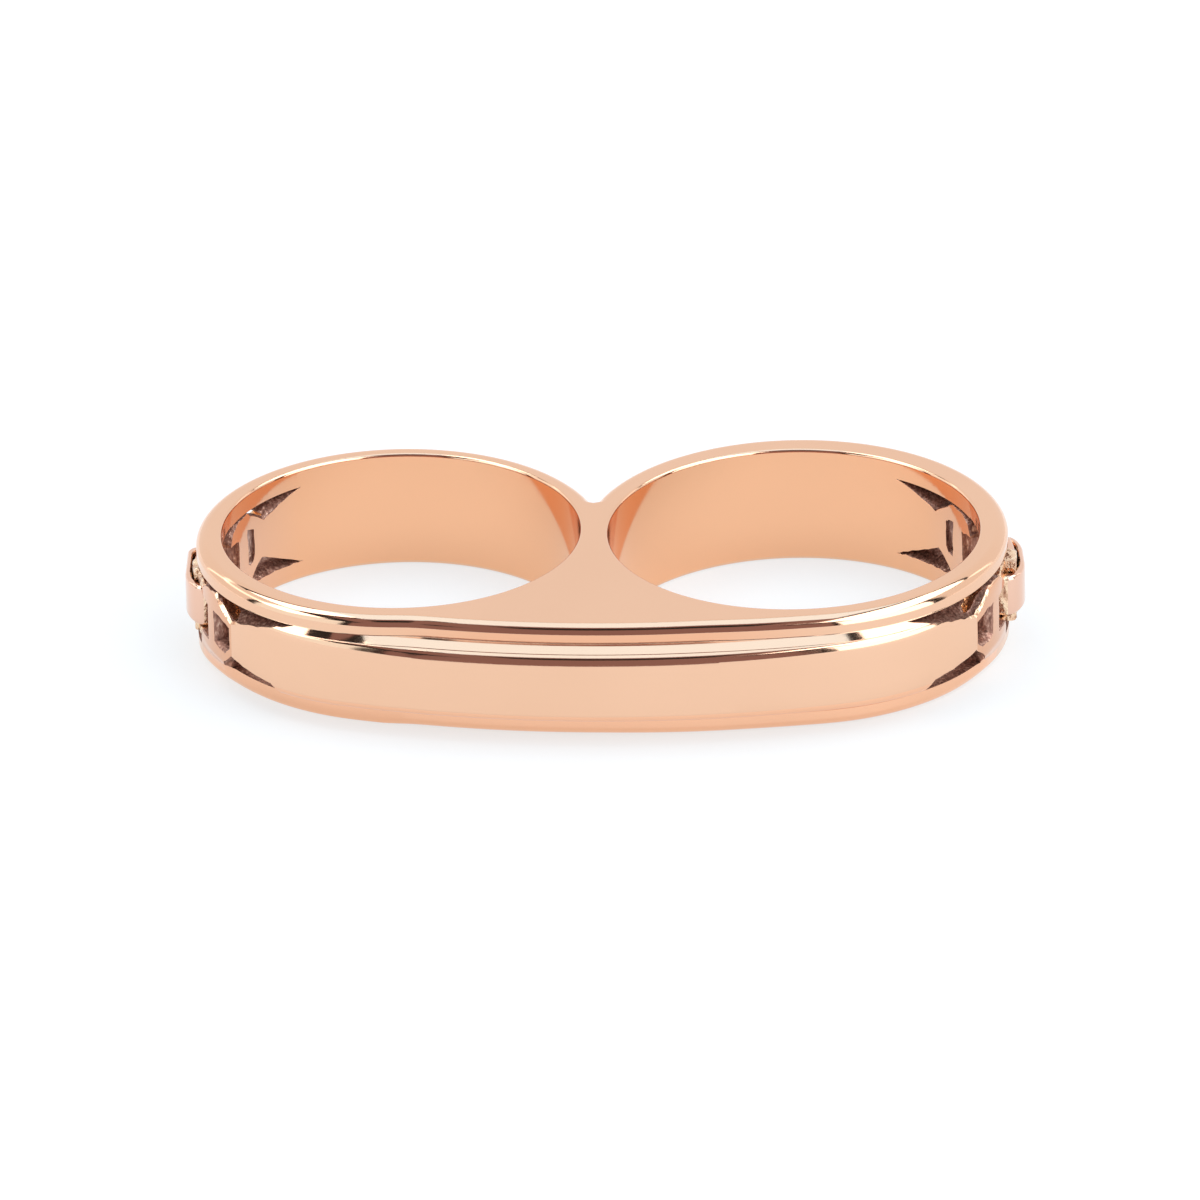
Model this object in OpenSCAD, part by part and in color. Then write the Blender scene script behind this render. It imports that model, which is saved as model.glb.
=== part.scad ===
// Two-finger knuckle ring in rose gold, lying on its side.
// Two round finger holes stand side by side along X, and the knuckle bar faces -Y.
// A raised panel runs along the bar between two rims. At each side it ends in a pierced
// D-shaped loop, and an oval link passes through the front loop and the back loop.

/* [Finger holes] */
// Radius of the left finger hole
left_hole_r = 8.25; // [7.9:0.05:8.4]
// Radius of the right finger hole
right_hole_r = 8.55; // [8.2:0.05:8.7]
// Metal between the two holes at the narrowest place
web = 1.3; // [1.1:0.05:1.7]
// How far the left hole's centre lies behind the middle of the ring
left_hole_y = 0.52; // [0.3:0.02:0.7]
// How far the right hole's centre lies behind the middle of the ring
right_hole_y = 0.77; // [0.5:0.02:0.9]

/* [Band] */
// Height of the band, along the fingers
band_h = 5.6; // [5.2:0.1:6.2]
// Wall of the left loop at the back
left_back_wall = 1.0; // [0.9:0.05:1.2]
// Wall of the right loop at the back
right_back_wall = 1.5; // [1.3:0.05:1.7]
// Radius of the round corners where the sides turn into the knuckle bar
corner_r = 10.2; // [10.1:0.02:10.3]
// Radius of the bar's long front arc
front_r = 42; // [40:0.5:44]
// Distance of the bar's rims in front of the middle of the ring
bar_front = 9.83; // [9.75:0.01:9.95]
// Rounding of the outer edges
edge_r = 0.42; // [0.2:0.02:0.5]
// Rounding of the edges of the finger holes
hole_edge_r = 0.15; // [0.05:0.01:0.25]

/* [Raised panel] */
// How far the panel stands out from the rims
panel_out = 1.0; // [0.7:0.05:1.1]
// Height of the panel's flat face
panel_face_h = 2.5; // [2.2:0.1:2.8]
// Rounding of the panel's shoulders
shoulder_r = 0.45; // [0.3:0.05:0.5]
// Height of each rim
rim_h = 0.84; // [0.7:0.02:0.9]

/* [Chain motif] */
// Turn of the left motif towards the bar, in degrees
left_turn = 1; // [-1:0.5:2]
// Turn of the right motif towards the bar, in degrees
right_turn = -5; // [-6:0.5:0]
// Width of the bar that crosses each D-shaped loop, in degrees
crossbar_a = 4.6; // [3:0.1:5]
// Height of the slots in the loops
slot_h = 1.56; // [1.3:0.02:1.8]
// Length of the oval links
link_len = 4.5; // [4:0.1:4.6]
// Height of the oval links
link_h = 1.97; // [1.8:0.01:2]
// Metal of the oval links
link_wire = 0.4; // [0.3:0.02:0.45]

/* [Hidden] */
gold = [0.86, 0.62, 0.50];
light_gold = [0.93, 0.76, 0.65];
$fn = 96;

mid_z = band_h / 2;
far = 30;

// The hole centres, so that the web between them lies near the middle
web_x = -0.485;
left_hole = [web_x - web / 2 - left_hole_r, left_hole_y];
right_hole = [web_x + web / 2 + right_hole_r, right_hole_y];

// Outer circles of the back: the right one is set back a little further
left_back = [left_hole[0] - 0.05, left_hole[1] - 0.15];
left_back_r = left_hole_r + left_back_wall + 0.15;
right_back = [right_hole[0] + 0.09, right_hole[1] + 0.28];
right_back_r = right_hole_r + right_back_wall - 0.27;

// The long front arc, and the corner circles that carry it on round the sides.
// The circles reach over the arc by a hair and are trimmed by it
bar_mid_x = -0.11;
corner_a = 15.46;
corner_over = 0.05;
front_c = [bar_mid_x, front_r - bar_front];
function corner_c(side, arc_r, r) =
    front_c + (arc_r - r + corner_over) * [side * sin(corner_a), -cos(corner_a)];

// The panel's face has tighter corners, so that it stands out less towards the sides
face_r = front_r + panel_out;
face_corner_r = corner_r - 0.4;
face_back_y = 0.5;
panel_root = panel_face_h / 2 + shoulder_r + 0.2;
notch_y = 3.4;

// Places in the chain motif, as angles about the hole's centre from the ring's side
loop_end_a = 4.5;
loop_bar_a = 4.5;
window_a = 16;
loop_corner_a = 28.5;
loop_corner_h = 1.75;
crossbar_end_a = 28;
slot_end_a = 36.4;
diagonal_end_a = 37.5;
upper_tip_a = 61;
lower_start_a = 30.5;
lower_tip_a = 57;
cut_mid_a = 43;
loop_h = 3.0;
loop_wire_h = 0.42;
loop_in = 0.52;
loop_out = 1.15;
gap_h = slot_h + 0.76;

module puck(r, edge = edge_r) {
    // A disc with rounded edges
    rotate_extrude() {
        square([r - edge, band_h]);
        translate([0, edge]) square([r, band_h - 2 * edge]);
        for (z = [edge, band_h - edge]) translate([r - edge, z]) circle(edge);
    }
}

module block(x0, x1, y0, y1, z0 = 0, z1 = band_h) {
    translate([x0, y0, z0]) cube([x1 - x0, y1 - y0, z1 - z0]);
}

module band_body() {
    translate(left_back) puck(left_back_r);
    translate(right_back) puck(right_back_r);
    block(web_x - 1.3, web_x + 1.3, -1, notch_y);
    intersection() {
        translate(front_c) puck(front_r);
        union() {
            for (side = [-1, 1]) translate(corner_c(side, front_r, corner_r)) puck(corner_r);
            bar_block(front_r);
        }
        block(-far, far, -far, 0);
    }
}

module bar_block(arc_r) {
    // The middle of the bar, from one corner circle to the other
    reach = arc_r * sin(corner_a);
    block(bar_mid_x - reach, bar_mid_x + reach, -far, 0);
}

module panel_disc(r) {
    // A disc with the panel's section: sloping ledges, round shoulders and a flat face
    out = r - shoulder_r;
    foot = panel_face_h / 2 + shoulder_r;
    translate([0, 0, mid_z]) rotate_extrude() {
        polygon([[0, -panel_root], [r - panel_out, -panel_root], [out, -foot],
                 [out, foot], [r - panel_out, panel_root], [0, panel_root]]);
        translate([0, -panel_face_h / 2]) square([r, panel_face_h]);
        for (s = [-1, 1]) translate([out, s * panel_face_h / 2]) circle(shoulder_r);
    }
}

module panel_body() {
    intersection() {
        translate(front_c) panel_disc(face_r);
        union() {
            for (side = [-1, 1]) translate(corner_c(side, face_r, face_corner_r)) panel_disc(face_corner_r);
            bar_block(face_r);
        }
        block(-far, far, -far, face_back_y);
    }
}

module hole(c, r) {
    // A finger hole with rounded edges
    rounding = hole_edge_r;
    translate([c[0], c[1], 0]) {
        translate([0, 0, -1]) cylinder(r = r, h = band_h + 2);
        rotate_extrude() {
            difference() {
                translate([r - 1, -1]) square([1 + rounding, band_h + 2]);
                translate([r, rounding]) square([1, band_h - 2 * rounding]);
                for (z = [rounding, band_h - rounding]) translate([r + rounding, z]) circle(rounding);
            }
        }
    }
}

module at_side(side) {
    // Places children about a hole's centre: local +X points out of the ring's side
    c = side < 0 ? left_hole : right_hole;
    turn = side < 0 ? left_turn : right_turn;
    translate([c[0], c[1], 0])
        mirror([side < 0 ? 1 : 0, 0, 0])
            rotate([0, 0, -turn])
                children();
}

module front_and_back() {
    children();
    mirror([0, 1, 0]) children();
}

module sector(r0, r1, a0, a1, z0, z1) {
    rotate([0, 0, -a1])
        rotate_extrude(angle = a1 - a0)
            translate([r0, z0]) square([r1 - r0, z1 - z0]);
}

module pierce(r, mid_a, corners) {
    // Cuts a straight-sided opening out through the wall, from corners of angle and height
    rotate([0, 0, -mid_a]) rotate([90, 0, 90])
        translate([0, 0, r - 2.5]) linear_extrude(6)
            polygon([for (c = corners) [-r * tan(c[0] - mid_a), mid_z + c[1]]]);
}

module side_openings(r) {
    gap_top = mid_z - rim_h - 0.03;
    // The window in the middle of the side, and the openings in and beside each D-shaped loop
    sector(r - 1, r + 4, -window_a, window_a, rim_h, band_h - rim_h);
    front_and_back() {
        sector(r - 1, r + 4, window_a - 1, crossbar_end_a - crossbar_a, mid_z - gap_h / 2, mid_z + gap_h / 2);
        pierce(r, crossbar_end_a, [
            [crossbar_end_a, -slot_h / 2 + 0.12], [crossbar_end_a + 2.5, -slot_h / 2],
            [slot_end_a, -slot_h / 2 + 0.3], [slot_end_a, slot_h / 2 - 0.25],
            [crossbar_end_a + 2, slot_h / 2], [crossbar_end_a, slot_h / 2]]);
        pierce(r, cut_mid_a, [
            [window_a - 1, gap_top], [window_a - 1, 0.9], [window_a + 2, 1.4], [window_a + 6, 1.68],
            [loop_corner_a, loop_corner_h], [diagonal_end_a, 0.97], [upper_tip_a, gap_top]]);
        pierce(r, cut_mid_a, [
            [lower_start_a, -gap_top], [lower_start_a + 2.5, -1.4], [diagonal_end_a + 0.5, -0.8],
            [lower_tip_a - 1, -1.22], [lower_tip_a, -gap_top]]);
    }
}

module loop_ends(r) {
    // The end of each D-shaped loop, which passes through the oval link
    inner_h = loop_h / 2 - loop_wire_h;
    front_and_back()
        difference() {
            sector(r + loop_in, r + loop_out, loop_end_a, window_a + 1,
                   mid_z - loop_h / 2, mid_z + loop_h / 2);
            sector(r - 1, r + 4, loop_end_a + loop_bar_a, window_a + 2, mid_z - inner_h, mid_z + inner_h);
        }
}

module band() {
    color(gold) {
        difference() {
            union() {
                band_body();
                panel_body();
            }
            hole(left_hole, left_hole_r);
            hole(right_hole, right_hole_r);
            at_side(-1) side_openings(left_hole_r);
            at_side(1) side_openings(right_hole_r);
        }
        at_side(-1) loop_ends(left_hole_r);
        at_side(1) loop_ends(right_hole_r);
    }
}

module oval(length, depth, round_r) {
    // A rounded rectangle, centred along Y and reaching from the Y axis outwards
    translate([0, -length / 2 + round_r]) square([depth, length - 2 * round_r]);
    translate([round_r, -length / 2]) square([depth - 2 * round_r, length]);
    for (x = [round_r, depth - round_r])
        for (y = [-1, 1])
            translate([x, y * (length / 2 - round_r)]) circle(round_r);
}

module side_link(side) {
    // An oval link around the ends of both loops
    r = side < 0 ? left_hole_r : right_hole_r;
    depth = side < 0 ? 1.7 : 2.03;
    inner_wire = 0.3;
    color(light_gold)
        at_side(side)
            translate([r + 0.03, 0, mid_z - link_h / 2])
                linear_extrude(link_h)
                    difference() {
                        oval(link_len, depth, 0.7);
                        translate([inner_wire, 0])
                            oval(link_len - 2.4 * link_wire, depth - inner_wire - link_wire, 0.4);
                    }
}

module side_link_left() {
    side_link(-1);
}

module side_link_right() {
    side_link(1);
}

band();
side_link_left();
side_link_right();
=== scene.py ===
"""Looks of the two-finger knuckle ring: polished rose gold on a plain pale floor.

The ring is built in millimetres in the row frame and scaled to metres when a mesh is made.
"""
import math

import bmesh
import bpy
import numpy as np
from mathutils import Matrix, Vector
from mathutils.geometry import tessellate_polygon
from mathutils.noise import noise_vector, seed_set


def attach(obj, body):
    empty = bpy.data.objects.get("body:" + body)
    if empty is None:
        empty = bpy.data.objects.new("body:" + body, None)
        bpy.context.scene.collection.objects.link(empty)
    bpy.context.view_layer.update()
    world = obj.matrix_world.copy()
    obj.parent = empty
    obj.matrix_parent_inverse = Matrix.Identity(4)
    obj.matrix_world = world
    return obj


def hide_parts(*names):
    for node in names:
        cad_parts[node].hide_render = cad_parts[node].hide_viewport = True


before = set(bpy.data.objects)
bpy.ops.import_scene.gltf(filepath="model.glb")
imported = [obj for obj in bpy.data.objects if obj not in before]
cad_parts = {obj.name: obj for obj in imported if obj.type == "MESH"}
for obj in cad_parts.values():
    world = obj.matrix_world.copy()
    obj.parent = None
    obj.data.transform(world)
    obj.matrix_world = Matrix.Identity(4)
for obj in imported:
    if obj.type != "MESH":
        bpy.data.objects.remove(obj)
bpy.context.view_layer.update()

MM = 0.001
# The cast lumps are the same on each run
seed_set(3)

# Sizes, in mm and degrees. The band's height and its middle
H = 5.6
MID = H / 2
# Rounding of the finger holes' edges, and of the outer edges, which end in a crease
HOLE_EDGE = 0.15
EDGE = 0.56
CREASE = 77
# Height of a rim, half the height of the panel's flat face, and where the rims meet the grooves
RIM = 0.86
FACE_HALF = 1.25
GROOVE = MID - RIM
# The bar's long front arc, and the corner circles that carry it on round the sides
FRONT_R = 42.0
FRONT_C = np.array([-0.11, 32.17])
CORNER_A = math.radians(15.46)
CORNER_R = 10.2
# How far the panel stands out from the rims, and its face's corner circles
PANEL_OUT = 1.0
FACE_CORNER_R = 9.8
# The oval links, and the D-shaped loops: half their height, their wire, where they end at the bar
LINK_H = 1.97
LINK_LENGTH = 4.5
LINK_BEND = 0.02
LOOP_HALF = 1.5
LOOP_WIRE = 0.42
LOOP_A = 37.5

# The tone of each face, by the place of its material in band_slots
# The bore, front rim, lower strip and loop-side tones are deeper copies of the polished gold that
# paint shade
POLISHED, UNPOLISHED, BORE_SHADE, RIM_SHADE, STRIP_SHADE, CAST, SIDE_SHADE = range(7)

# Each side's finger hole (c and r), the turn of its motif in degrees, the circle of its outline at
# the back, and its link's depth, corner radii and lean
SIDES = {
    "left": dict(side=-1, c=np.array([-9.385, 0.52]), r=8.25, turn=1.0,
                 back=np.array([-9.435, 0.37]), back_r=9.4,
                 link_depth=1.7, link_round=(0.4, 0.5), lean=0.02),
    "right": dict(side=1, c=np.array([8.715, 0.77]), r=8.55, turn=-5.0,
                  back=np.array([8.805, 1.05]), back_r=9.78,
                  link_depth=2.03, link_round=(0.5, 1.4), lean=0.0),
}


def ray_out(origin, d, centre, r):
    """How far a ray from inside a circle travels before it leaves it."""
    f = origin - centre
    b = (f * d).sum(-1)
    return -b + np.sqrt(np.maximum(b * b - (f * f).sum(-1) + r * r, 0))


def corner_centre(side, arc_r, r):
    """Centre of the corner circle of radius r that carries on the front arc of radius arc_r."""
    return FRONT_C + (arc_r - r) * np.array([side * math.sin(CORNER_A), -math.cos(CORNER_A)])


def front_out(origin, d, arc_r, corner_r, side):
    """The same for the bar: its long front arc, carried on round the side by a corner circle."""
    t = ray_out(origin, d, FRONT_C, arc_r)
    hit_x = (origin + t[..., None] * d)[..., 0]
    beyond = side * (hit_x - FRONT_C[0]) > arc_r * math.sin(CORNER_A)
    return np.where(beyond, ray_out(origin, d, corner_centre(side, arc_r, corner_r), corner_r), t)


# How far the band's upper and lower outlines stand out from the plain curves, by x along the bar
UPPER_OUT = [(-19, 0), (5, 0), (7, 0.14), (9.3, 0.28), (12, 0.24), (14.7, 0.18), (16.5, 0.08),
             (18, 0), (20, 0)]
LOWER_OUT = [(-17.5, 0), (-16.2, -0.05), (-13.8, -0.08), (-12, -0.1), (-10, -0.14), (-8, -0.15),
             (-5, -0.13), (0, -0.11), (2.4, -0.04), (5, 0.04), (7, 0.06), (9.3, 0.15), (12, 0.25),
             (14.7, 0.2), (16.2, 0.2), (18, 0)]
# Where the two halves of the outline meet, at the back and in the middle of the bar
NOTCH = (-0.68, 3.95)
BAR_Y = -9.83
# The outline is smoothed over SOFT mm, and CRISP by the notch, at FINE points for each one kept
SOFT = 0.55
CRISP = 0.09
FINE = 12


def lobe(s, count=6000):
    """Outline of one half, from the notch at the back round the side to the middle of the bar.

    The third column is how much less the lower outline reaches out than the upper one.
    """
    notch = math.atan2(NOTCH[1] - s["c"][1], NOTCH[0] - s["c"][0])
    bar = math.atan2(BAR_Y - s["c"][1], FRONT_C[0] - s["c"][0])
    a = np.linspace(notch, bar + 2 * math.pi if s["side"] < 0 else bar, count)
    d = np.stack([np.cos(a), np.sin(a)], -1)
    back = ray_out(s["c"], d, s["back"], s["back_r"])
    arcs = front_out(s["c"], d, FRONT_R, CORNER_R, s["side"])
    x = s["c"][0] + arcs * d[:, 0]
    front = np.where(d[:, 1] < 0, arcs, 0)
    upper = np.maximum(back, front)
    w = np.clip((-d[:, 1] - 0.2) / 0.3, 0, 1)
    w = w * w * (3 - 2 * w)
    lower = upper * (1 - w) + w * (arcs + np.interp(x, *zip(*LOWER_OUT)))
    upper = upper + w * np.interp(x, *zip(*UPPER_OUT))
    return np.column_stack([s["c"] + upper[:, None] * d, upper - lower])


def circular_smooth(values, sigma, step):
    """Smooths values along a closed line, over about sigma mm."""
    freq = np.fft.fftfreq(len(values), d=step)
    kernel = np.exp(-2 * (math.pi * freq * sigma) ** 2)
    if values.ndim > 1:
        kernel = kernel[:, None]
    return np.fft.ifft(np.fft.fft(values, axis=0) * kernel, axis=0).real


def resample(points, n):
    """n points at even steps along a closed line; columns after the first two are carried along."""
    closed = np.vstack([points, points[:1]])
    step = np.linalg.norm(np.diff(closed[:, :2], axis=0), axis=1)
    s = np.concatenate([[0], np.cumsum(step)])
    at = np.linspace(0, s[-1], n, endpoint=False)
    return np.stack([np.interp(at, s, column) for column in closed.T], -1), s[-1] / n


def plan(n=960):
    """The outline, its outward normals, the panel's stand-out, and the lower outline's inset."""
    left, right = lobe(SIDES["left"]), lobe(SIDES["right"])
    line, step = resample(np.vstack([left, right[::-1]]), FINE * n)
    soft = circular_smooth(line, SOFT, step)
    crisp = circular_smooth(line, CRISP, step)
    near = np.linalg.norm(line[:, :2] - line[0, :2], axis=1)[:, None]
    w = np.clip((near - 0.6) / 1.8, 0, 1)
    w = w * w * (3 - 2 * w)
    line = soft * w + crisp * (1 - w)
    inset = circular_smooth(line[:, 2], 0.4, step)
    line = line[:, :2]
    t = circular_smooth(np.roll(line, -1, 0) - np.roll(line, 1, 0), 0.03, step)
    t /= np.linalg.norm(t, axis=1)[:, None]
    out = np.stack([t[:, 1], -t[:, 0]], -1)
    pick = np.arange(n) * FINE
    line, out, inset = line[pick], out[pick], inset[pick]
    side = np.where(line[:, 0] < FRONT_C[0], -1, 1)
    proud = np.zeros(n)
    for sd in (-1, 1):
        m = side == sd
        proud[m] = front_out(line[m], out[m], FRONT_R + PANEL_OUT, FACE_CORNER_R, sd)
    fade = np.clip((1.6 - line[:, 1]) / 2.0, 0, 1)
    proud = np.clip(proud, 0, PANEL_OUT) * fade * fade * (3 - 2 * fade)
    return line, out, circular_smooth(proud, 0.4, 110.0 / n), inset


def arc(cx, cz, r, a0, a1, n):
    """Points (out, up) on a circle, with angles from straight up towards outwards."""
    a = np.radians(np.linspace(a0, a1, n))
    return np.stack([cx + r * np.sin(a), cz + r * np.cos(a)], -1)


def fillet(cx, cz):
    """The rounded edge that ends in a crisp crease a little before it is upright."""
    return arc(cx, cz, EDGE, 0, CREASE, 13)


EDGE_X = EDGE * math.sin(math.radians(CREASE))
EDGE_Z = EDGE * math.cos(math.radians(CREASE))
# The parts of section(), by the row that each starts at
RIM_FACE, LEDGE, SHOULDER_EDGE, FACE = 13, 15, 17, 29


def section(proud, squeeze=1.0):
    """Half of the wall's outer profile above the middle, from the flat top down.

    squeeze narrows the rim's rounded edge where the wall is thin.
    """
    inner = max(proud - EDGE_X, 0.6 * proud)
    ledge_z = FACE_HALF - EDGE_Z + EDGE
    top = np.vstack([[[-EDGE_X - 0.03, MID]], fillet(-EDGE_X, MID - EDGE)]) * [squeeze, 1]
    ledge = np.array([[0, GROOVE + 0.02], [0.02 * min(proud, 1), GROOVE],
                      [inner * 0.5, (GROOVE + ledge_z) / 2]])
    shoulder = fillet(0, FACE_HALF - EDGE_Z) * [(proud - inner) / EDGE_X, 1] + [inner, 0]
    return np.vstack([top, ledge, shoulder, [[proud, FACE_HALF * 0.4]]])


def filled(low, proud, w):
    """The lower profile with its groove filled in by w, as beside the D-shaped loops."""
    z = -low[:, 1]
    rim_z = MID - EDGE + EDGE_Z
    u = np.clip((z - FACE_HALF) / (rim_z - FACE_HALF), 0, 1)
    groove = (z < rim_z + 0.001) & (z > FACE_HALF - 0.001)
    x = np.where(groove, proud * (1 - u * u * (3 - 2 * u)), low[:, 0])
    return np.column_stack([low[:, 0] * (1 - w) + x * w, low[:, 1]])


# Points round each finger hole, and where the groove beside the D-shaped loops is filled in again
HOLE_STEPS = 288
FILLED_A = 36


def band_mesh():
    """Points and faces of the band before it is pierced, and each face's material slot."""
    line, out, proud, inset = plan()
    n = len(line)
    rows, beside = [], []
    for i in range(n):
        half = section(float(proud[i]))
        reach = float(proud[i] + inset[i])
        squeeze = float(np.interp(inset[i], [0.1, 0.45], [1, 0.45]))
        low = section(reach, squeeze) * [1, -1]
        s = SIDES["left" if line[i, 0] < FRONT_C[0] else "right"]
        from_side = line[i] - s["c"]
        a = math.degrees(math.atan2(-from_side[1], s["side"] * from_side[0])) - s["turn"]
        beside.append(0 < a < LOOP_A)
        if 0 < a < FILLED_A:
            low = filled(low, reach, float(np.interp(a, [10, 13, 27, 33], [0, 1, 1, 0])))
        low = low - [float(inset[i]), 0]
        prof = np.vstack([half, low[::-1]])
        rows.append(np.concatenate([line[i] + prof[:, :1] * out[i], MID + prof[:, 1:]], -1))
    rows = np.array(rows)
    m = rows.shape[1]
    verts = [tuple(v) for v in rows.reshape(-1, 3)]
    faces, tones = [], []
    for i in range(n):
        for j in range(m - 1):
            nxt = (i + 1) % n * m
            faces.append((i * m + j, i * m + j + 1, nxt + j + 1, nxt + j))
            # Beside the loops, on the front rim faces and on the lower strip, faces take deeper
            # golds that paint shade
            if beside[i] and SHOULDER_EDGE <= j < m - 1 - LEDGE:
                tones.append(SIDE_SHADE)
            elif line[i, 1] < -4 and j in (RIM_FACE, RIM_FACE + 1):
                tones.append(RIM_SHADE)
            else:
                tones.append(STRIP_SHADE if line[i, 1] < -2 and j > m - 1 - FACE else POLISHED)
    rings = []
    for s in SIDES.values():
        k = HOLE_STEPS
        a = np.linspace(0, 2 * math.pi, k, endpoint=False)
        up = arc(s["r"] + HOLE_EDGE, MID - HOLE_EDGE, HOLE_EDGE, 0, -90, 11)
        up = np.vstack([[[s["r"] + HOLE_EDGE + 0.03, MID]], up])
        prof = np.vstack([up, (up * [1, -1])[::-1]])
        base = len(verts)
        q = len(prof)
        for ang in a:
            for r, z in prof:
                x, y = s["c"][0] + r * math.cos(ang), s["c"][1] + r * math.sin(ang)
                verts.append((x, y, MID + z))
        for i in range(k):
            for j in range(q - 1):
                here, nxt = base + i * q + j, base + (i + 1) % k * q + j
                faces.append((here, nxt, nxt + 1, here + 1))
                # The bores' upright wall takes the deeper tone that paints shade
                tones.append(BORE_SHADE if j == q // 2 - 1 else POLISHED)
        rings.append((base, k, q))
    for level in (0, -1):
        loops = [[base + i * q + level % q for i in range(k)] for base, k, q in [(0, n, m), *rings]]
        flat = [v for loop in loops for v in loop]
        tris = tessellate_polygon([[Vector((*verts[v][:2], 0)) for v in loop] for loop in loops])
        faces += [tuple(flat[v] for v in tri) for tri in tris]
        tones += [POLISHED] * len(tris)
    return verts, faces, tones


def make(name, verts, faces, slots, tone=0):
    """A closed mesh in metres; tone is its material slot, or a list with one for each face."""
    mesh = bpy.data.meshes.new(name)
    mesh.from_pydata([tuple(c * MM for c in v) for v in verts], [], faces)
    tones = tone if isinstance(tone, list) else [tone] * len(faces)
    mesh.polygons.foreach_set("material_index", tones)
    bm = bmesh.new()
    bm.from_mesh(mesh)
    bmesh.ops.remove_doubles(bm, verts=bm.verts, dist=1e-7)
    bmesh.ops.recalc_face_normals(bm, faces=bm.faces)
    if bm.calc_volume(signed=True) < 0:
        bmesh.ops.reverse_faces(bm, faces=bm.faces)
    bm.to_mesh(mesh)
    bm.free()
    for slot in slots:
        mesh.materials.append(slot)
    obj = bpy.data.objects.new(name, mesh)
    bpy.context.scene.collection.objects.link(obj)
    return obj


def direction(s, a, back=False):
    """Unit vector from a hole's centre, a degrees from the side towards the bar or the back."""
    t = math.radians((-a if back else a) + s["turn"])
    return np.array([s["side"] * math.cos(t), -math.sin(t)])


def surface(s, a, back, face):
    """Radius of the wall's outer surface in that direction, on the rims or on the panel's face."""
    d = direction(s, a, back)
    behind = float(ray_out(s["c"], d, s["back"], s["back_r"]))
    if back:
        return behind
    if face:
        return float(front_out(s["c"], d, FRONT_R + PANEL_OUT, FACE_CORNER_R, s["side"]))
    return max(behind, float(front_out(s["c"], d, FRONT_R, CORNER_R, s["side"])))


def wall_point(s, d, r, z):
    """The point r out from a hole's centre in direction d, and z above the middle."""
    return (s["c"][0] + r * d[0], s["c"][1] + r * d[1], MID + z)


def tube_faces(rings, k):
    """Faces of a tube through that many rings of k points, with a cap at both ends."""
    faces = []
    for i in range(rings - 1):
        here, nxt = i * k, (i + 1) * k
        faces += [(here + j, here + (j + 1) % k, nxt + (j + 1) % k, nxt + j) for j in range(k)]
    return faces + [tuple(range(k)), tuple(range((rings - 1) * k, rings * k))]


def grow_polygon(points, amount):
    """Moves every side of a closed polygon outwards."""
    p = np.array(points, float)
    area = 0.5 * np.sum(p[:, 0] * np.roll(p[:, 1], -1) - np.roll(p[:, 0], -1) * p[:, 1])
    e = np.roll(p, -1, 0) - p
    e /= np.maximum(np.linalg.norm(e, axis=1)[:, None], 1e-9)
    nrm = np.stack([e[:, 1], -e[:, 0]], -1) * (1 if area > 0 else -1)
    before = np.roll(nrm, 1, 0)
    bis = nrm + before
    bis /= np.maximum(np.linalg.norm(bis, axis=1)[:, None], 1e-9)
    scale = 1 / np.maximum((bis * nrm).sum(1), 0.6)
    return p + bis * scale[:, None] * amount


def densify(points, like, step):
    """Points along a closed polygon's sides, as many on each side as `like` needs at that step."""
    out = []
    for i, p in enumerate(points):
        q = points[(i + 1) % len(points)]
        a, b = like[i], like[(i + 1) % len(like)]
        k = max(1, int(math.ceil(math.hypot(b[0] - a[0], b[1] - a[1]) / step)))
        out += [(p[0] + (q[0] - p[0]) * j / k, p[1] + (q[1] - p[1]) * j / k) for j in range(k)]
    return np.array(out)


# Steps along an opening's sides, and how rough its walls are, in mm
CUT_STEP = 0.3
ROUGH = 0.02
# How far a cutter starts inside the finger hole, and how fast it widens there and outside the face
START = 1.2
WIDEN_IN = 0.4
WIDEN_OUT = 0.35


def cutter(name, s, inside, outside, back, slots, face=True, bevel=0.0, inner_bevel=0.06, seed=0,
           waist=0.0, reach=0.35):
    """A cutter that goes out through the wall.

    Its mouths on the inside and outside have corners at (degrees, height above the middle). The
    bevels take off the mouths' edges, and waist narrows the opening halfway through the wall.
    """
    hole_r = s["r"]
    r_ref = hole_r + 1.0
    mouths = [[(math.radians(a) * r_ref, z) for a, z in corners] for corners in (inside, outside)]
    flat_in, flat_out = (densify(m, mouths[1], CUT_STEP) for m in mouths)
    wobble = np.random.default_rng(seed).normal(0, ROUGH, (len(flat_in), 2))
    wobble[np.abs(np.abs(flat_out[:, 1]) - GROOVE) < 0.05] = 0
    # Each depth's radius, how much wider it is, how rough, and the outer mouth's share in its shape
    levels = [(lambda r: hole_r - START, inner_bevel + START * WIDEN_IN - waist * 0.6, 0, 0),
              (lambda r: hole_r + inner_bevel, -waist * 0.6, 1, 0),
              (lambda r: hole_r * 0.65 + r * 0.35, -waist, 1, 0.35),
              (lambda r: hole_r * 0.3 + r * 0.7, -waist * 0.7, 1, 0.7),
              (lambda r: r - bevel, 0.0, 1, 1),
              (lambda r: r + reach, bevel + (WIDEN_OUT if bevel else 0), 0, 1)]
    verts = []
    for radius, grow, shake, t in levels:
        for x, z in grow_polygon(flat_in * (1 - t) + flat_out * t, grow) + wobble * shake:
            a = math.degrees(x / r_ref)
            verts.append(wall_point(s, direction(s, a, back), radius(surface(s, a, back, face)), z))
    return make(name, verts, tube_faces(len(levels), len(flat_in)), slots, UNPOLISHED)


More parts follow.
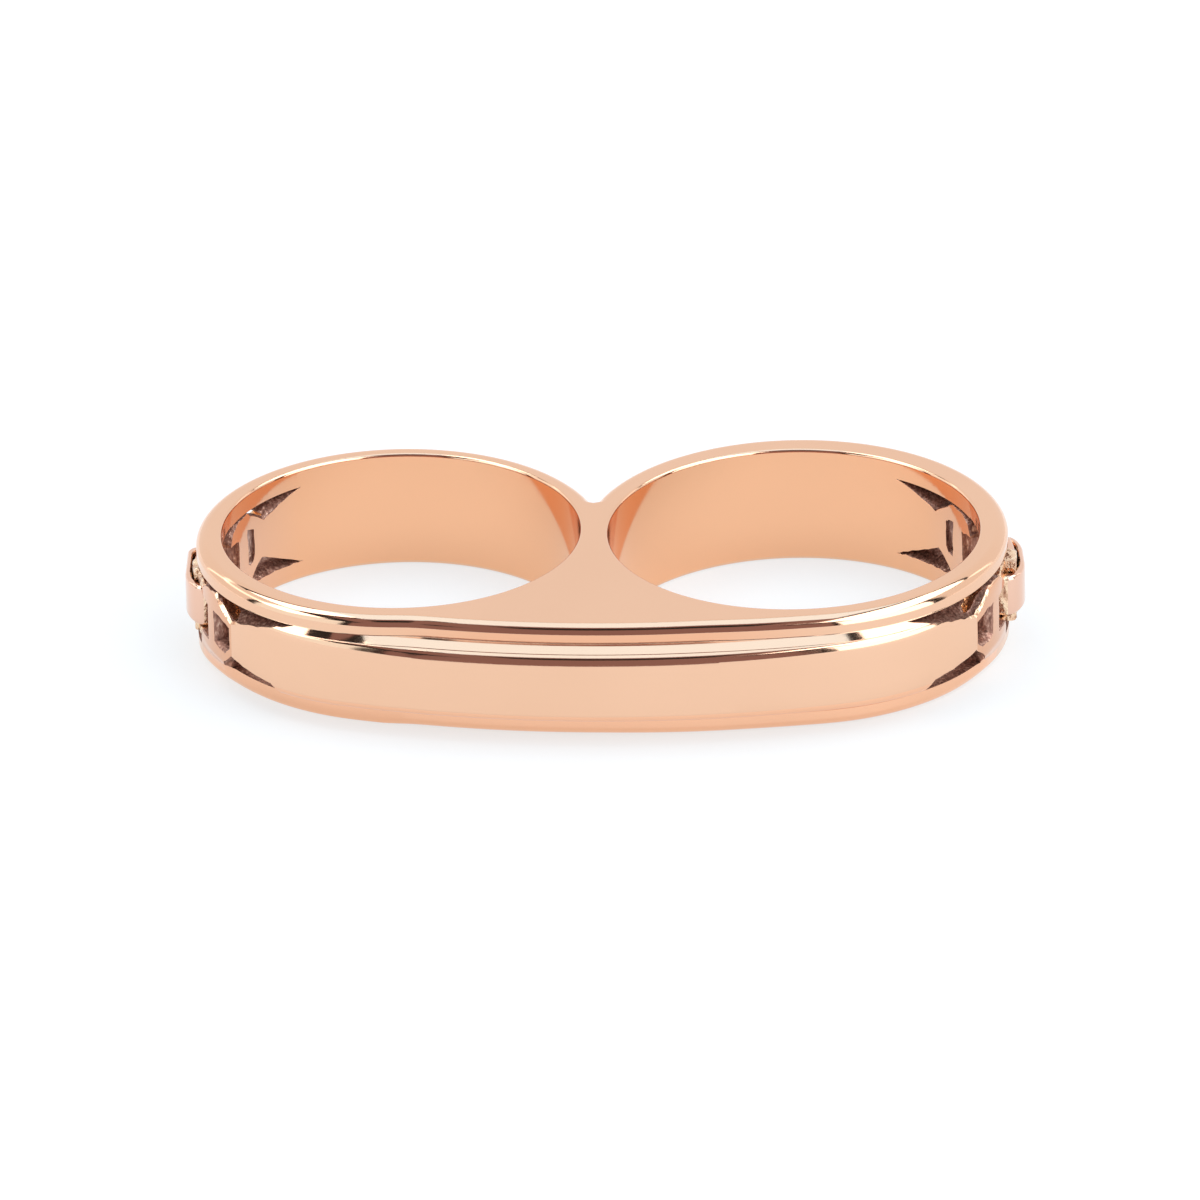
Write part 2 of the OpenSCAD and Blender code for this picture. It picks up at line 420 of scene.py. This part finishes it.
def chamfer_cutter(s, corners, back, slots, width=0.15):
    """A cutter that only takes the sharp corner off the panel's face beside an opening."""
    r_ref = s["r"] + 1.0
    flat = [(math.radians(a) * r_ref, z) for a, z in corners]
    flat = densify(flat, flat, CUT_STEP)
    levels = ((-0.9, -0.03), (-width, 0.0), (0.4, width + 0.4))
    verts = []
    for depth, grow in levels:
        for x, z in grow_polygon(flat, grow):
            a = math.degrees(x / r_ref)
            r = surface(s, a, back, True) + depth
            verts.append(wall_point(s, direction(s, a, back), r, z))
    return make("chamfer", verts, tube_faces(len(levels), len(flat)), slots, CAST)


def cut(target, tool):
    """Takes the tool's shape away from the target, and then removes the tool."""
    mod = target.modifiers.new("cut", "BOOLEAN")
    mod.operation = "DIFFERENCE"
    mod.solver = "MANIFOLD"
    mod.object = tool
    apply_modifiers(target)
    mesh = tool.data
    bpy.data.objects.remove(tool)
    bpy.data.meshes.remove(mesh)


def apply_modifiers(obj):
    """Puts what the modifiers make into the object's own mesh."""
    bpy.context.view_layer.update()
    depsgraph = bpy.context.evaluated_depsgraph_get()
    new = bpy.data.meshes.new_from_object(obj.evaluated_get(depsgraph), depsgraph=depsgraph)
    old = obj.data
    obj.modifiers.clear()
    obj.data = new
    new.name = obj.name
    bpy.data.meshes.remove(old)


def smooth(obj, angle=32, rough_angle=40):
    """Smooth shading that keeps edges sharp over an angle; unpolished faces keep fewer of them."""
    bm = bmesh.new()
    bm.from_mesh(obj.data)
    bmesh.ops.remove_doubles(bm, verts=bm.verts, dist=1e-6)
    bmesh.ops.dissolve_degenerate(bm, edges=bm.edges, dist=1e-6)
    for f in bm.faces:
        f.smooth = True
    for e in bm.edges:
        if len(e.link_faces) == 2:
            raw_both = all(f.material_index == UNPOLISHED for f in e.link_faces)
            e.smooth = e.calc_face_angle() < math.radians(rough_angle if raw_both else angle)
    bm.to_mesh(obj.data)
    bm.free()
    mod = obj.modifiers.new("normals", "WEIGHTED_NORMAL")
    mod.keep_sharp = True
    mod.weight = 80
    apply_modifiers(obj)


def nodes_of(name):
    """A new material, its node tree and its shader."""
    mat = bpy.data.materials.new(name)
    mat.use_nodes = True
    tree = mat.node_tree
    return mat, tree, tree.nodes["Principled BSDF"]


def node(tree, kind, **values):
    """A new node, with those settings."""
    n = tree.nodes.new(kind)
    for key, value in values.items():
        setattr(n, key, value)
    return n


def noise(tree, coord, scale, detail=3, rough=0.55):
    n = node(tree, "ShaderNodeTexNoise")
    n.inputs["Scale"].default_value = scale
    n.inputs["Detail"].default_value = detail
    n.inputs["Roughness"].default_value = rough
    tree.links.new(coord, n.inputs["Vector"])
    return n.outputs["Fac"]


def ramp(tree, fac, stops):
    n = node(tree, "ShaderNodeValToRGB")
    el = n.color_ramp.elements
    while len(el) < len(stops):
        el.new(0.5)
    for e, (pos, col) in zip(el, stops):
        e.position = pos
        e.color = (*col, 1) if len(col) == 3 else col
    tree.links.new(fac, n.inputs["Fac"])
    return n.outputs["Color"]


def value_range(tree, fac, lo, hi, out_lo, out_hi):
    n = node(tree, "ShaderNodeMapRange")
    for key, v in zip(("From Min", "From Max", "To Min", "To Max"), (lo, hi, out_lo, out_hi)):
        n.inputs[key].default_value = v
    tree.links.new(fac, n.inputs["Value"])
    return n.outputs["Result"]


def bump(tree, height, strength, distance, normal=None):
    n = node(tree, "ShaderNodeBump")
    n.inputs["Strength"].default_value = strength
    n.inputs["Distance"].default_value = distance
    tree.links.new(height, n.inputs["Height"])
    if normal is not None:
        tree.links.new(normal, n.inputs["Normal"])
    return n.outputs["Normal"]


def polished_gold(name, base, seed, middle=None, span=(0.005, 0.0115)):
    """Polished rose gold: slight tone drift, hairline wear, faint waves left by the buff.

    middle is a deeper tone, painted shade, that it drifts to halfway along the bar, if any, and
    span is where the drift starts and ends, in metres from the middle.
    """
    mat, tree, bsdf = nodes_of(name)
    place = node(tree, "ShaderNodeTexCoord").outputs["Object"]
    move = node(tree, "ShaderNodeMapping")
    move.inputs["Location"].default_value = (seed, seed * 0.7, seed * 0.3)
    tree.links.new(place, move.inputs["Vector"])
    coord = move.outputs["Vector"]
    r, g, b = base
    tone = noise(tree, coord, 120, 2)
    colour = ramp(tree, tone, [(0.3, (r * 0.975, g * 0.965, b * 0.955)), (0.7, base)])
    # The drift towards the deeper tone in the middle of the bar is painted shade
    if middle:
        along = node(tree, "ShaderNodeSeparateXYZ")
        tree.links.new(place, along.inputs[0])
        ends = node(tree, "ShaderNodeMath", operation="ABSOLUTE")
        tree.links.new(along.outputs["X"], ends.inputs[0])
        mix = node(tree, "ShaderNodeMix", data_type="RGBA")
        mix.inputs["A"].default_value = (*middle, 1)
        tree.links.new(value_range(tree, ends.outputs[0], *span, 0, 1), mix.inputs["Factor"])
        tree.links.new(colour, mix.inputs["B"])
        colour = mix.outputs["Result"]
    tree.links.new(colour, bsdf.inputs["Base Color"])
    bsdf.inputs["Metallic"].default_value = 1.0
    haze = noise(tree, coord, 900, 4)
    tree.links.new(value_range(tree, haze, 0.35, 0.75, 0.055, 0.12), bsdf.inputs["Roughness"])
    round_edge = node(tree, "ShaderNodeBevel", samples=4)
    round_edge.inputs["Radius"].default_value = 0.00003
    waves = bump(tree, noise(tree, coord, 260, 2), 0.12, 0.00002, round_edge.outputs["Normal"])
    stretch = node(tree, "ShaderNodeMapping")
    stretch.inputs["Scale"].default_value = (1, 1, 9)
    tree.links.new(coord, stretch.inputs["Vector"])
    hair = bump(tree, noise(tree, stretch.outputs["Vector"], 2600, 5, 0.7), 0.05, 0.00001, waves)
    tree.links.new(hair, bsdf.inputs["Normal"])
    return mat


def raw_gold_with_painted_shade(name):
    """The unpolished walls of the pierced openings: brown, streaked and grainy, as cast, with
    painted shade in the low streaks and painted glints on the high ones.
    """
    mat, tree, bsdf = nodes_of(name)
    coord = node(tree, "ShaderNodeTexCoord").outputs["Object"]
    stretch = node(tree, "ShaderNodeMapping")
    stretch.inputs["Scale"].default_value = (1, 1, 0.35)
    stretch.inputs["Rotation"].default_value = (0.5, 0.35, 0)
    tree.links.new(coord, stretch.inputs["Vector"])
    streaks = noise(tree, stretch.outputs["Vector"], 7000, 5, 0.65)
    # The streaks' colour follows their bump: dark in the low ones, painted shade, pale gold on the
    # high ones, painted glints
    tree.links.new(ramp(tree, streaks, [(0.34, (0.15, 0.07, 0.05)), (0.5, (0.34, 0.17, 0.125)),
                                        (0.6, (0.52, 0.3, 0.225)), (0.72, (0.97, 0.74, 0.58))]),
                   bsdf.inputs["Base Color"])
    bsdf.inputs["Metallic"].default_value = 0.75
    tree.links.new(value_range(tree, noise(tree, coord, 3400, 3), 0.3, 0.7, 0.25, 0.5),
                   bsdf.inputs["Roughness"])
    coarse = bump(tree, noise(tree, coord, 2300, 4, 0.6), 0.7, 0.00006)
    tree.links.new(bump(tree, streaks, 0.55, 0.00003, coarse), bsdf.inputs["Normal"])
    return mat


def cast_gold_with_painted_shade(name):
    """The loop ends and the links' insides: bright gold that the polishing wheel never reached,
    with painted shade in the lumps' hollows and painted highlights on their tops.
    """
    mat, tree, bsdf = nodes_of(name)
    coord = node(tree, "ShaderNodeTexCoord").outputs["Object"]
    lumps = noise(tree, coord, 2600, 3, 0.5)
    # The lumps' colour follows their bump: dark in the hollows, painted shade, pale on the tops,
    # painted highlights
    tree.links.new(ramp(tree, lumps, [(0.32, (0.5, 0.27, 0.17)), (0.48, (0.88, 0.6, 0.41)),
                                      (0.7, (0.98, 0.78, 0.55))]), bsdf.inputs["Base Color"])
    bsdf.inputs["Metallic"].default_value = 1.0
    tree.links.new(value_range(tree, noise(tree, coord, 5000, 3), 0.3, 0.7, 0.12, 0.3),
                   bsdf.inputs["Roughness"])
    coarse = bump(tree, lumps, 0.9, 0.00012)
    fine = noise(tree, coord, 9000, 2)
    tree.links.new(bump(tree, fine, 0.4, 0.00002, coarse), bsdf.inputs["Normal"])
    return mat


GOLD = (0.87, 0.54, 0.365)
gold = polished_gold("rose_gold_polished", GOLD, 0.0)
# The bores', rim faces', lower strip's and loop sides' golds are deeper copies of the polished gold
# that paint shade, deepest halfway along the bar for the bores and the rim
bore_shade_gold = polished_gold("rose_gold_bores_painted_shade", (0.87, 0.515, 0.35), 0.021, middle=(0.9, 0.495, 0.292),
                          span=(0.0145, 0.0168))
rim_shade_gold = polished_gold("rose_gold_rim_painted_shade", GOLD, 0.0, middle=(0.86, 0.46, 0.285))
link_gold = polished_gold("rose_gold_links", (0.85, 0.545, 0.415), 0.013)
strip_shade_gold = polished_gold("rose_gold_lower_rim_painted_shade", (0.95, 0.545, 0.35), 0.008)
side_shade_gold = polished_gold("rose_gold_sides_painted_shade", (0.8, 0.435, 0.27), 0.017)
raw = raw_gold_with_painted_shade("rose_gold_unpolished_painted_shade")
cast = cast_gold_with_painted_shade("rose_gold_cast_painted_shade")
band_slots = [gold, raw, bore_shade_gold, rim_shade_gold, strip_shade_gold, cast, side_shade_gold]

# Mouths of the openings at one side, as (degrees from the side, height above the middle).
# UPPER and LOWER are the mouths on the outside of the front half
LIP = GROOVE - 0.02
WINDOW = [(-15.5, -0.95), (-12.5, -GROOVE), (12.5, -GROOVE), (15.5, -0.95), (15.5, GROOVE),
          (-15.5, GROOVE)]
GAP = [(15, -0.95), (22.3, -0.93), (22.3, 0.75), (15, 0.9)]
SLOT = [(28, -0.66), (30.5, -0.76), (34.0, -0.8), (36.4, -0.5), (36.4, 0.53), (31, 0.78),
        (27.6, 0.78)]
SLOT_IN = [(28, -0.85), (29.2, -1.0), (31.6, -0.85), (32.8, -0.5), (32.8, 0.85), (30.5, 1.02),
           (27.6, 1.05)]
SHOULDER = [(15, 0.85), (16, 1.0), (18, 1.4), (21.5, 1.68), (28.5, 1.78), (37.5, 0.97)]
UPPER = [(15, LIP), *SHOULDER, (61, LIP)]
UPPER_BACK = [(15, LIP), *SHOULDER, (54, LIP)]
UPPER_SMALL = [(15, LIP), (15, 1.3), (16, 1.38), (18, 1.62), (21.5, 1.83), (28.5, 1.88),
               (37.5, 1.6), (50, LIP)]
LOWER = [(31, -2.0), (33, -1.35), (37.5, -0.8), (54, -1.2), (58.5, -1.88)]
LOWER_BACK = [(28.5, -LIP), (31, -1.4), (36, -0.8), (53, -1.84), (54, -LIP)]
LOWER_HIGH = [(29, -1.5), (31, -1.15), (36, -0.6), (52, -1.3), (53, -1.5)]
FACET = [(28.7, 1.8), (37.5, 1.0), (39.5, 1.08), (32.5, 1.8)]


def pierce(band):
    """Cuts the openings of the chain motif at both sides, front and back."""
    seed = 1
    for s in SIDES.values():
        cut(band, cutter("window", s, WINDOW, WINDOW, False, band_slots, face=False,
                         inner_bevel=0.05))
        for back in (False, True):
            seed += 7
            slot = (SLOT_IN if back else SLOT, SLOT)
            upper = (UPPER_BACK, UPPER_SMALL) if back else (UPPER_SMALL, UPPER)
            lower = (LOWER_BACK, LOWER_HIGH) if back else (LOWER, LOWER)
            cut(band, cutter("gap", s, GAP, GAP, back, band_slots, bevel=0.06, seed=seed))
            cut(band, cutter("slot", s, *slot, back, band_slots, bevel=0.06, seed=seed + 1,
                             waist=0.2))
            for name, mouths, own_seed in (("upper", upper, seed + 2), ("lower", lower, seed + 3)):
                cut(band, cutter(name, s, *mouths, back, band_slots, face=False, inner_bevel=0.08,
                                 seed=own_seed, waist=0.1, reach=2.0))
            cut(band, chamfer_cutter(s, FACET, back, band_slots))


# The least number of steps along a bar of a loop, and how many degrees each may be
LEAST_STEPS = 6
BAR_STEP = 0.6


def sweep_box(name, s, back, angles, radii, heights, slots, rounding=0.12, lumps=0.05):
    """A curved bar with rounded edges, lumpy as cast, along the wall.

    angles, radii and heights each give where it starts and ends.
    """
    (a0, a1), (r0, r1), (z0, z1) = angles, radii, heights
    steps = max(LEAST_STEPS, int(abs(a1 - a0) / BAR_STEP))
    prof = []
    for cx, cz, start in ((r1 - rounding, z1 - rounding, 0), (r1 - rounding, z0 + rounding, 90),
                          (r0 + rounding, z0 + rounding, 180), (r0 + rounding, z1 - rounding, 270)):
        prof += [tuple(p) for p in arc(cx, cz, rounding, start, start + 90, 5)]
    prof = densify(prof, prof, 0.14)
    verts = []
    for i in range(steps + 1):
        d = direction(s, a0 + (a1 - a0) * i / steps, back)
        for r, z in prof:
            p = Vector(wall_point(s, d, r, z))
            verts.append(tuple(p + lumps * noise_vector(p * 3.5)))
    return make(name, verts, tube_faces(steps + 1, len(prof)), slots)


def oval_path(length, depth, front, back, k=12):
    """Rounded rectangle, counter-clockwise from its outer side, with outward normals.

    front and back are the corner radii, across and along, at its two ends.
    """
    pts, nrm = [], []
    for (rx, ry), outer, y, start in ((back, 1, 1, 0), (back, 0, 1, 90),
                                      (front, 0, -1, 180), (front, 1, -1, 270)):
        cx, cy = depth - rx if outer else rx, y * (length / 2 - ry)
        for i in range(k + 1):
            a = math.radians(start + 90 * i / k)
            pts.append((cx + rx * math.cos(a), cy + ry * math.sin(a)))
            out = Vector((math.cos(a) / rx, math.sin(a) / ry)).normalized()
            nrm.append((out.x, out.y))
    return np.array(pts), np.array(nrm)


def side_link(name, s):
    """An oval link: a loop of flat wire with rounded edges, its inside left rough."""
    rx, ry = s["link_round"]
    depth = s["link_depth"]
    pts, nrm = oval_path(LINK_LENGTH, depth, (0.8, 1.75), (rx, ry))
    inner, inner_nrm = oval_path(LINK_LENGTH - 0.9, depth - 0.55, (0.5, 1.35), (rx * 0.7, ry * 0.8))
    inner = inner + [0.28, 0]
    unpolished = pts[:, 0] < 0.5 * depth
    # It is bent a little, to follow the ring's round side, and the left one leans in at the front
    for line in (pts, inner):
        w = np.clip(line[:, 0] / depth, 0, 1)
        line[:, 0] += s["lean"] * w * line[:, 1] - LINK_BEND * line[:, 1] ** 2
    edge = 0.2
    half = LINK_H / 2
    outline = arc(-edge, half - edge, edge, 0, 90, 8)
    outer = np.vstack([outline, (outline * [1, -1])[::-1]])
    walls = np.linspace(-half + 0.06, half - 0.06, 8)
    # The link's own outward axis is turned with the motif, and its other axis points to the back
    t = math.radians(s["turn"])
    u = np.array([s["side"] * math.cos(t), -math.sin(t)])
    v = np.array([s["side"] * math.sin(t), math.cos(t)])
    verts, faces, tones = [], [], []
    n, m = len(pts), len(outer) + len(walls) + 2
    for i in range(n):
        lip = inner[i] + 0.06 * inner_nrm[i]
        ring = [(pts[i] + o * nrm[i], z, 0) for o, z in outer]
        ring += [(lip, -half, 0), *((inner[i], z, 1) for z in walls), (lip, half, 0)]
        for p, z, rough in ring:
            q = s["c"] + (s["r"] + 0.03 + p[0]) * u + p[1] * v
            q = Vector((q[0], q[1], MID + z))
            verts.append(tuple(q + rough * 0.04 * noise_vector(q * 4)))
        here, nxt = i * m, (i + 1) % n * m
        for j in range(m):
            faces.append((here + j, here + (j + 1) % m, nxt + (j + 1) % m, nxt + j))
            inside = len(outer) <= j < m - 1
            tones.append(UNPOLISHED if inside or unpolished[i] else POLISHED)
    return make(name, verts, faces, [link_gold, cast], tones)


def loop_parts():
    """The ends and arms of the D-shaped loops, which pass through the links."""
    parts = []
    for s in SIDES.values():
        hole_r = s["r"]
        end_radii = (hole_r + 0.45, hole_r + s["link_depth"] - 0.34)
        arm_radii = (hole_r + 0.5, hole_r + 1.22)
        for back in (False, True):
            if back:
                parts.append(sweep_box("loop_end", s, back, (1.6, 10.4), end_radii, (-1.13, 1.13),
                                       [link_gold], 0.16, 0.01))
            else:
                parts.append(sweep_box("loop_end", s, back, (1.6, 9.4), end_radii,
                                       (-LOOP_HALF, LOOP_HALF), [cast]))
            for z in (1, -1):
                heights = sorted((z * LOOP_HALF, z * (LOOP_HALF - LOOP_WIRE)))
                parts.append(sweep_box("loop_arm", s, back, (4.6, 21), arm_radii, heights, [cast]))
    return parts


verts, faces, tones = band_mesh()
band = make("knuckle_band", verts, faces, band_slots, tones)
pierce(band)
parts = loop_parts()
for p in parts:
    smooth(p, 50)
    p.parent = band
smooth(band, 11.5)
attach(band, "root")
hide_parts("band")
for key, s in SIDES.items():
    link = side_link("oval_link_" + key, s)
    smooth(link, 40)
    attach(link, "root")
    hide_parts("side_link_" + key)


# The studio, in metres. Panels of radiance DARK and colour DIM are what dark reflections show
FLOOR_HALF = 1.6
FLOOR_GAP = 0.00002
CEILING = 0.5
WHITE = (1, 1, 1)
PALE = (0.93, 0.97, 1)
COOL = (0.64, 0.84, 1.0)
DIM = (1.0, 0.61, 0.61)
DARK = 0.26


def pale_floor():
    """A plain floor, just under the ring, that hardly darkens but for a soft shadow."""
    mat, tree, bsdf = nodes_of("pale_floor")
    coord = node(tree, "ShaderNodeTexCoord").outputs["Object"]
    stops = [(0.3, (0.275, 0.285, 0.297)), (0.7, (0.29, 0.3, 0.312))]
    tree.links.new(ramp(tree, noise(tree, coord, 30, 2), stops), bsdf.inputs["Base Color"])
    bsdf.inputs["Emission Color"].default_value = (0.985, 1, 1, 1)
    bsdf.inputs["Emission Strength"].default_value = 0.64
    bsdf.inputs["Roughness"].default_value = 0.7
    bsdf.inputs["Specular IOR Level"].default_value = 0.2
    mesh = bpy.data.meshes.new("floor")
    w = FLOOR_HALF
    mesh.from_pydata([(-w, -w, 0), (w, -w, 0), (w, w, 0), (-w, w, 0)], [], [(0, 1, 2, 3)])
    mesh.materials.append(mat)
    obj = bpy.data.objects.new("floor", mesh)
    obj.location = (0, 0, -FLOOR_GAP)
    bpy.context.scene.collection.objects.link(obj)


def softbox(name, at, look, size, radiance, colour=(1, 1, 1)):
    """A rectangular light of that radiance, facing the point that it looks at."""
    light = bpy.data.lights.new(name, "AREA")
    light.shape = "RECTANGLE"
    light.size, light.size_y = size
    light.energy = radiance * math.pi * size[0] * size[1]
    light.color = colour
    obj = bpy.data.objects.new(name, light)
    aim = Vector(look) - Vector(at)
    obj.matrix_world = Matrix.Translation(at) @ aim.to_track_quat("-Z", "Y").to_matrix().to_4x4()
    bpy.context.scene.collection.objects.link(obj)


pale_floor()
# Panels in the ceiling: x and y where each starts and ends, its radiance and colour
for name, x0, x1, y0, y1, radiance, colour in (
        ("overhead_panel", -0.125, 0.14, -0.14, 0.40, 1.73, COOL),
        ("left_softbox", -0.38, -0.125, -0.06, 0.32, 3.4, PALE),
        ("left_far_front", -0.95, -0.42, -0.45, -0.02, 3.0, WHITE),
        ("left_far_back", -0.95, -0.40, -0.02, 0.50, 0.95, WHITE),
        ("right_softbox", 0.18, 0.62, -0.55, 0.36, 3.2, PALE),
        ("dim_left", -0.26, -0.12, -0.70, -0.14, DARK, DIM),
        ("dim_right", 0.10, 0.18, -0.70, -0.14, DARK, DIM),
        ("dim_near", -0.12, 0.10, -0.24, -0.14, DARK, DIM),
        ("dim_far", -0.12, 0.10, -0.70, -0.45, DARK, DIM)):
    x, y = (x0 + x1) / 2, (y0 + y1) / 2
    softbox(name, (x, y, CEILING), (x, y + 0.0001, 0), (x1 - x0, y1 - y0), radiance, colour)
softbox("back_panel", (0, 0.5, 0.24), (0, 0, 0.1), (1.5, 0.56), 0.945)
softbox("dim_card", (-0.02, -0.7, 0.25), (-0.02, 0, 0.25), (0.64, 0.5), DARK, DIM)
softbox("left_front", (-0.60, -0.39, 0.25), (0, 0, 0.2), (0.70, 0.5), 1.3, (0.82, 0.95, 1.0))
softbox("right_front", (0.57, -0.42, 0.25), (0, 0, 0.2), (0.72, 0.5), 2.6, PALE)
softbox("left_panel", (-0.66, 0.24, 0.25), (0, 0.24, 0.25), (0.52, 0.5), 0.95)
softbox("right_panel", (0.66, 0.24, 0.25), (0, 0.24, 0.25), (0.52, 0.5), 0.95)

world = bpy.data.worlds.new("studio")
world.use_nodes = True
background = world.node_tree.nodes["Background"]
background.inputs["Color"].default_value = (0.03, 0.03, 0.032, 1)
background.inputs["Strength"].default_value = 1.0
bpy.context.scene.world = world
bpy.context.scene.view_settings.view_transform = "Standard"

# The photograph's viewpoint: 25.4 degrees up, 3.1 degrees to the right, rolled by 1.2 degrees
ELEVATION, YAW, ROLL = math.radians(25.4), math.radians(-3.13), math.radians(-1.22)
# How far away it is, and the width of the picture at the ring, in metres
DISTANCE, WIDTH = 1.2, 0.05553
SENSOR = 36
target = Vector((-0.000504, 0.004828, 0))
view = Vector((math.sin(YAW) * math.cos(ELEVATION), math.cos(YAW) * math.cos(ELEVATION),
               -math.sin(ELEVATION)))
level = Vector((math.cos(YAW), -math.sin(YAW), 0))
above = level.cross(view)
right = math.cos(ROLL) * level + math.sin(ROLL) * above
up = -math.sin(ROLL) * level + math.cos(ROLL) * above
camera_data = bpy.data.cameras.new("camera")
camera_data.sensor_width = SENSOR
camera_data.lens = SENSOR * DISTANCE / WIDTH
camera_data.clip_end = 10
camera = bpy.data.objects.new("camera", camera_data)
camera.matrix_world = Matrix(((right.x, up.x, -view.x, 0), (right.y, up.y, -view.y, 0),
                              (right.z, up.z, -view.z, 0), (0, 0, 0, 1)))
camera.matrix_world.translation = target - DISTANCE * view
bpy.context.scene.collection.objects.link(camera)
bpy.context.scene.camera = camera
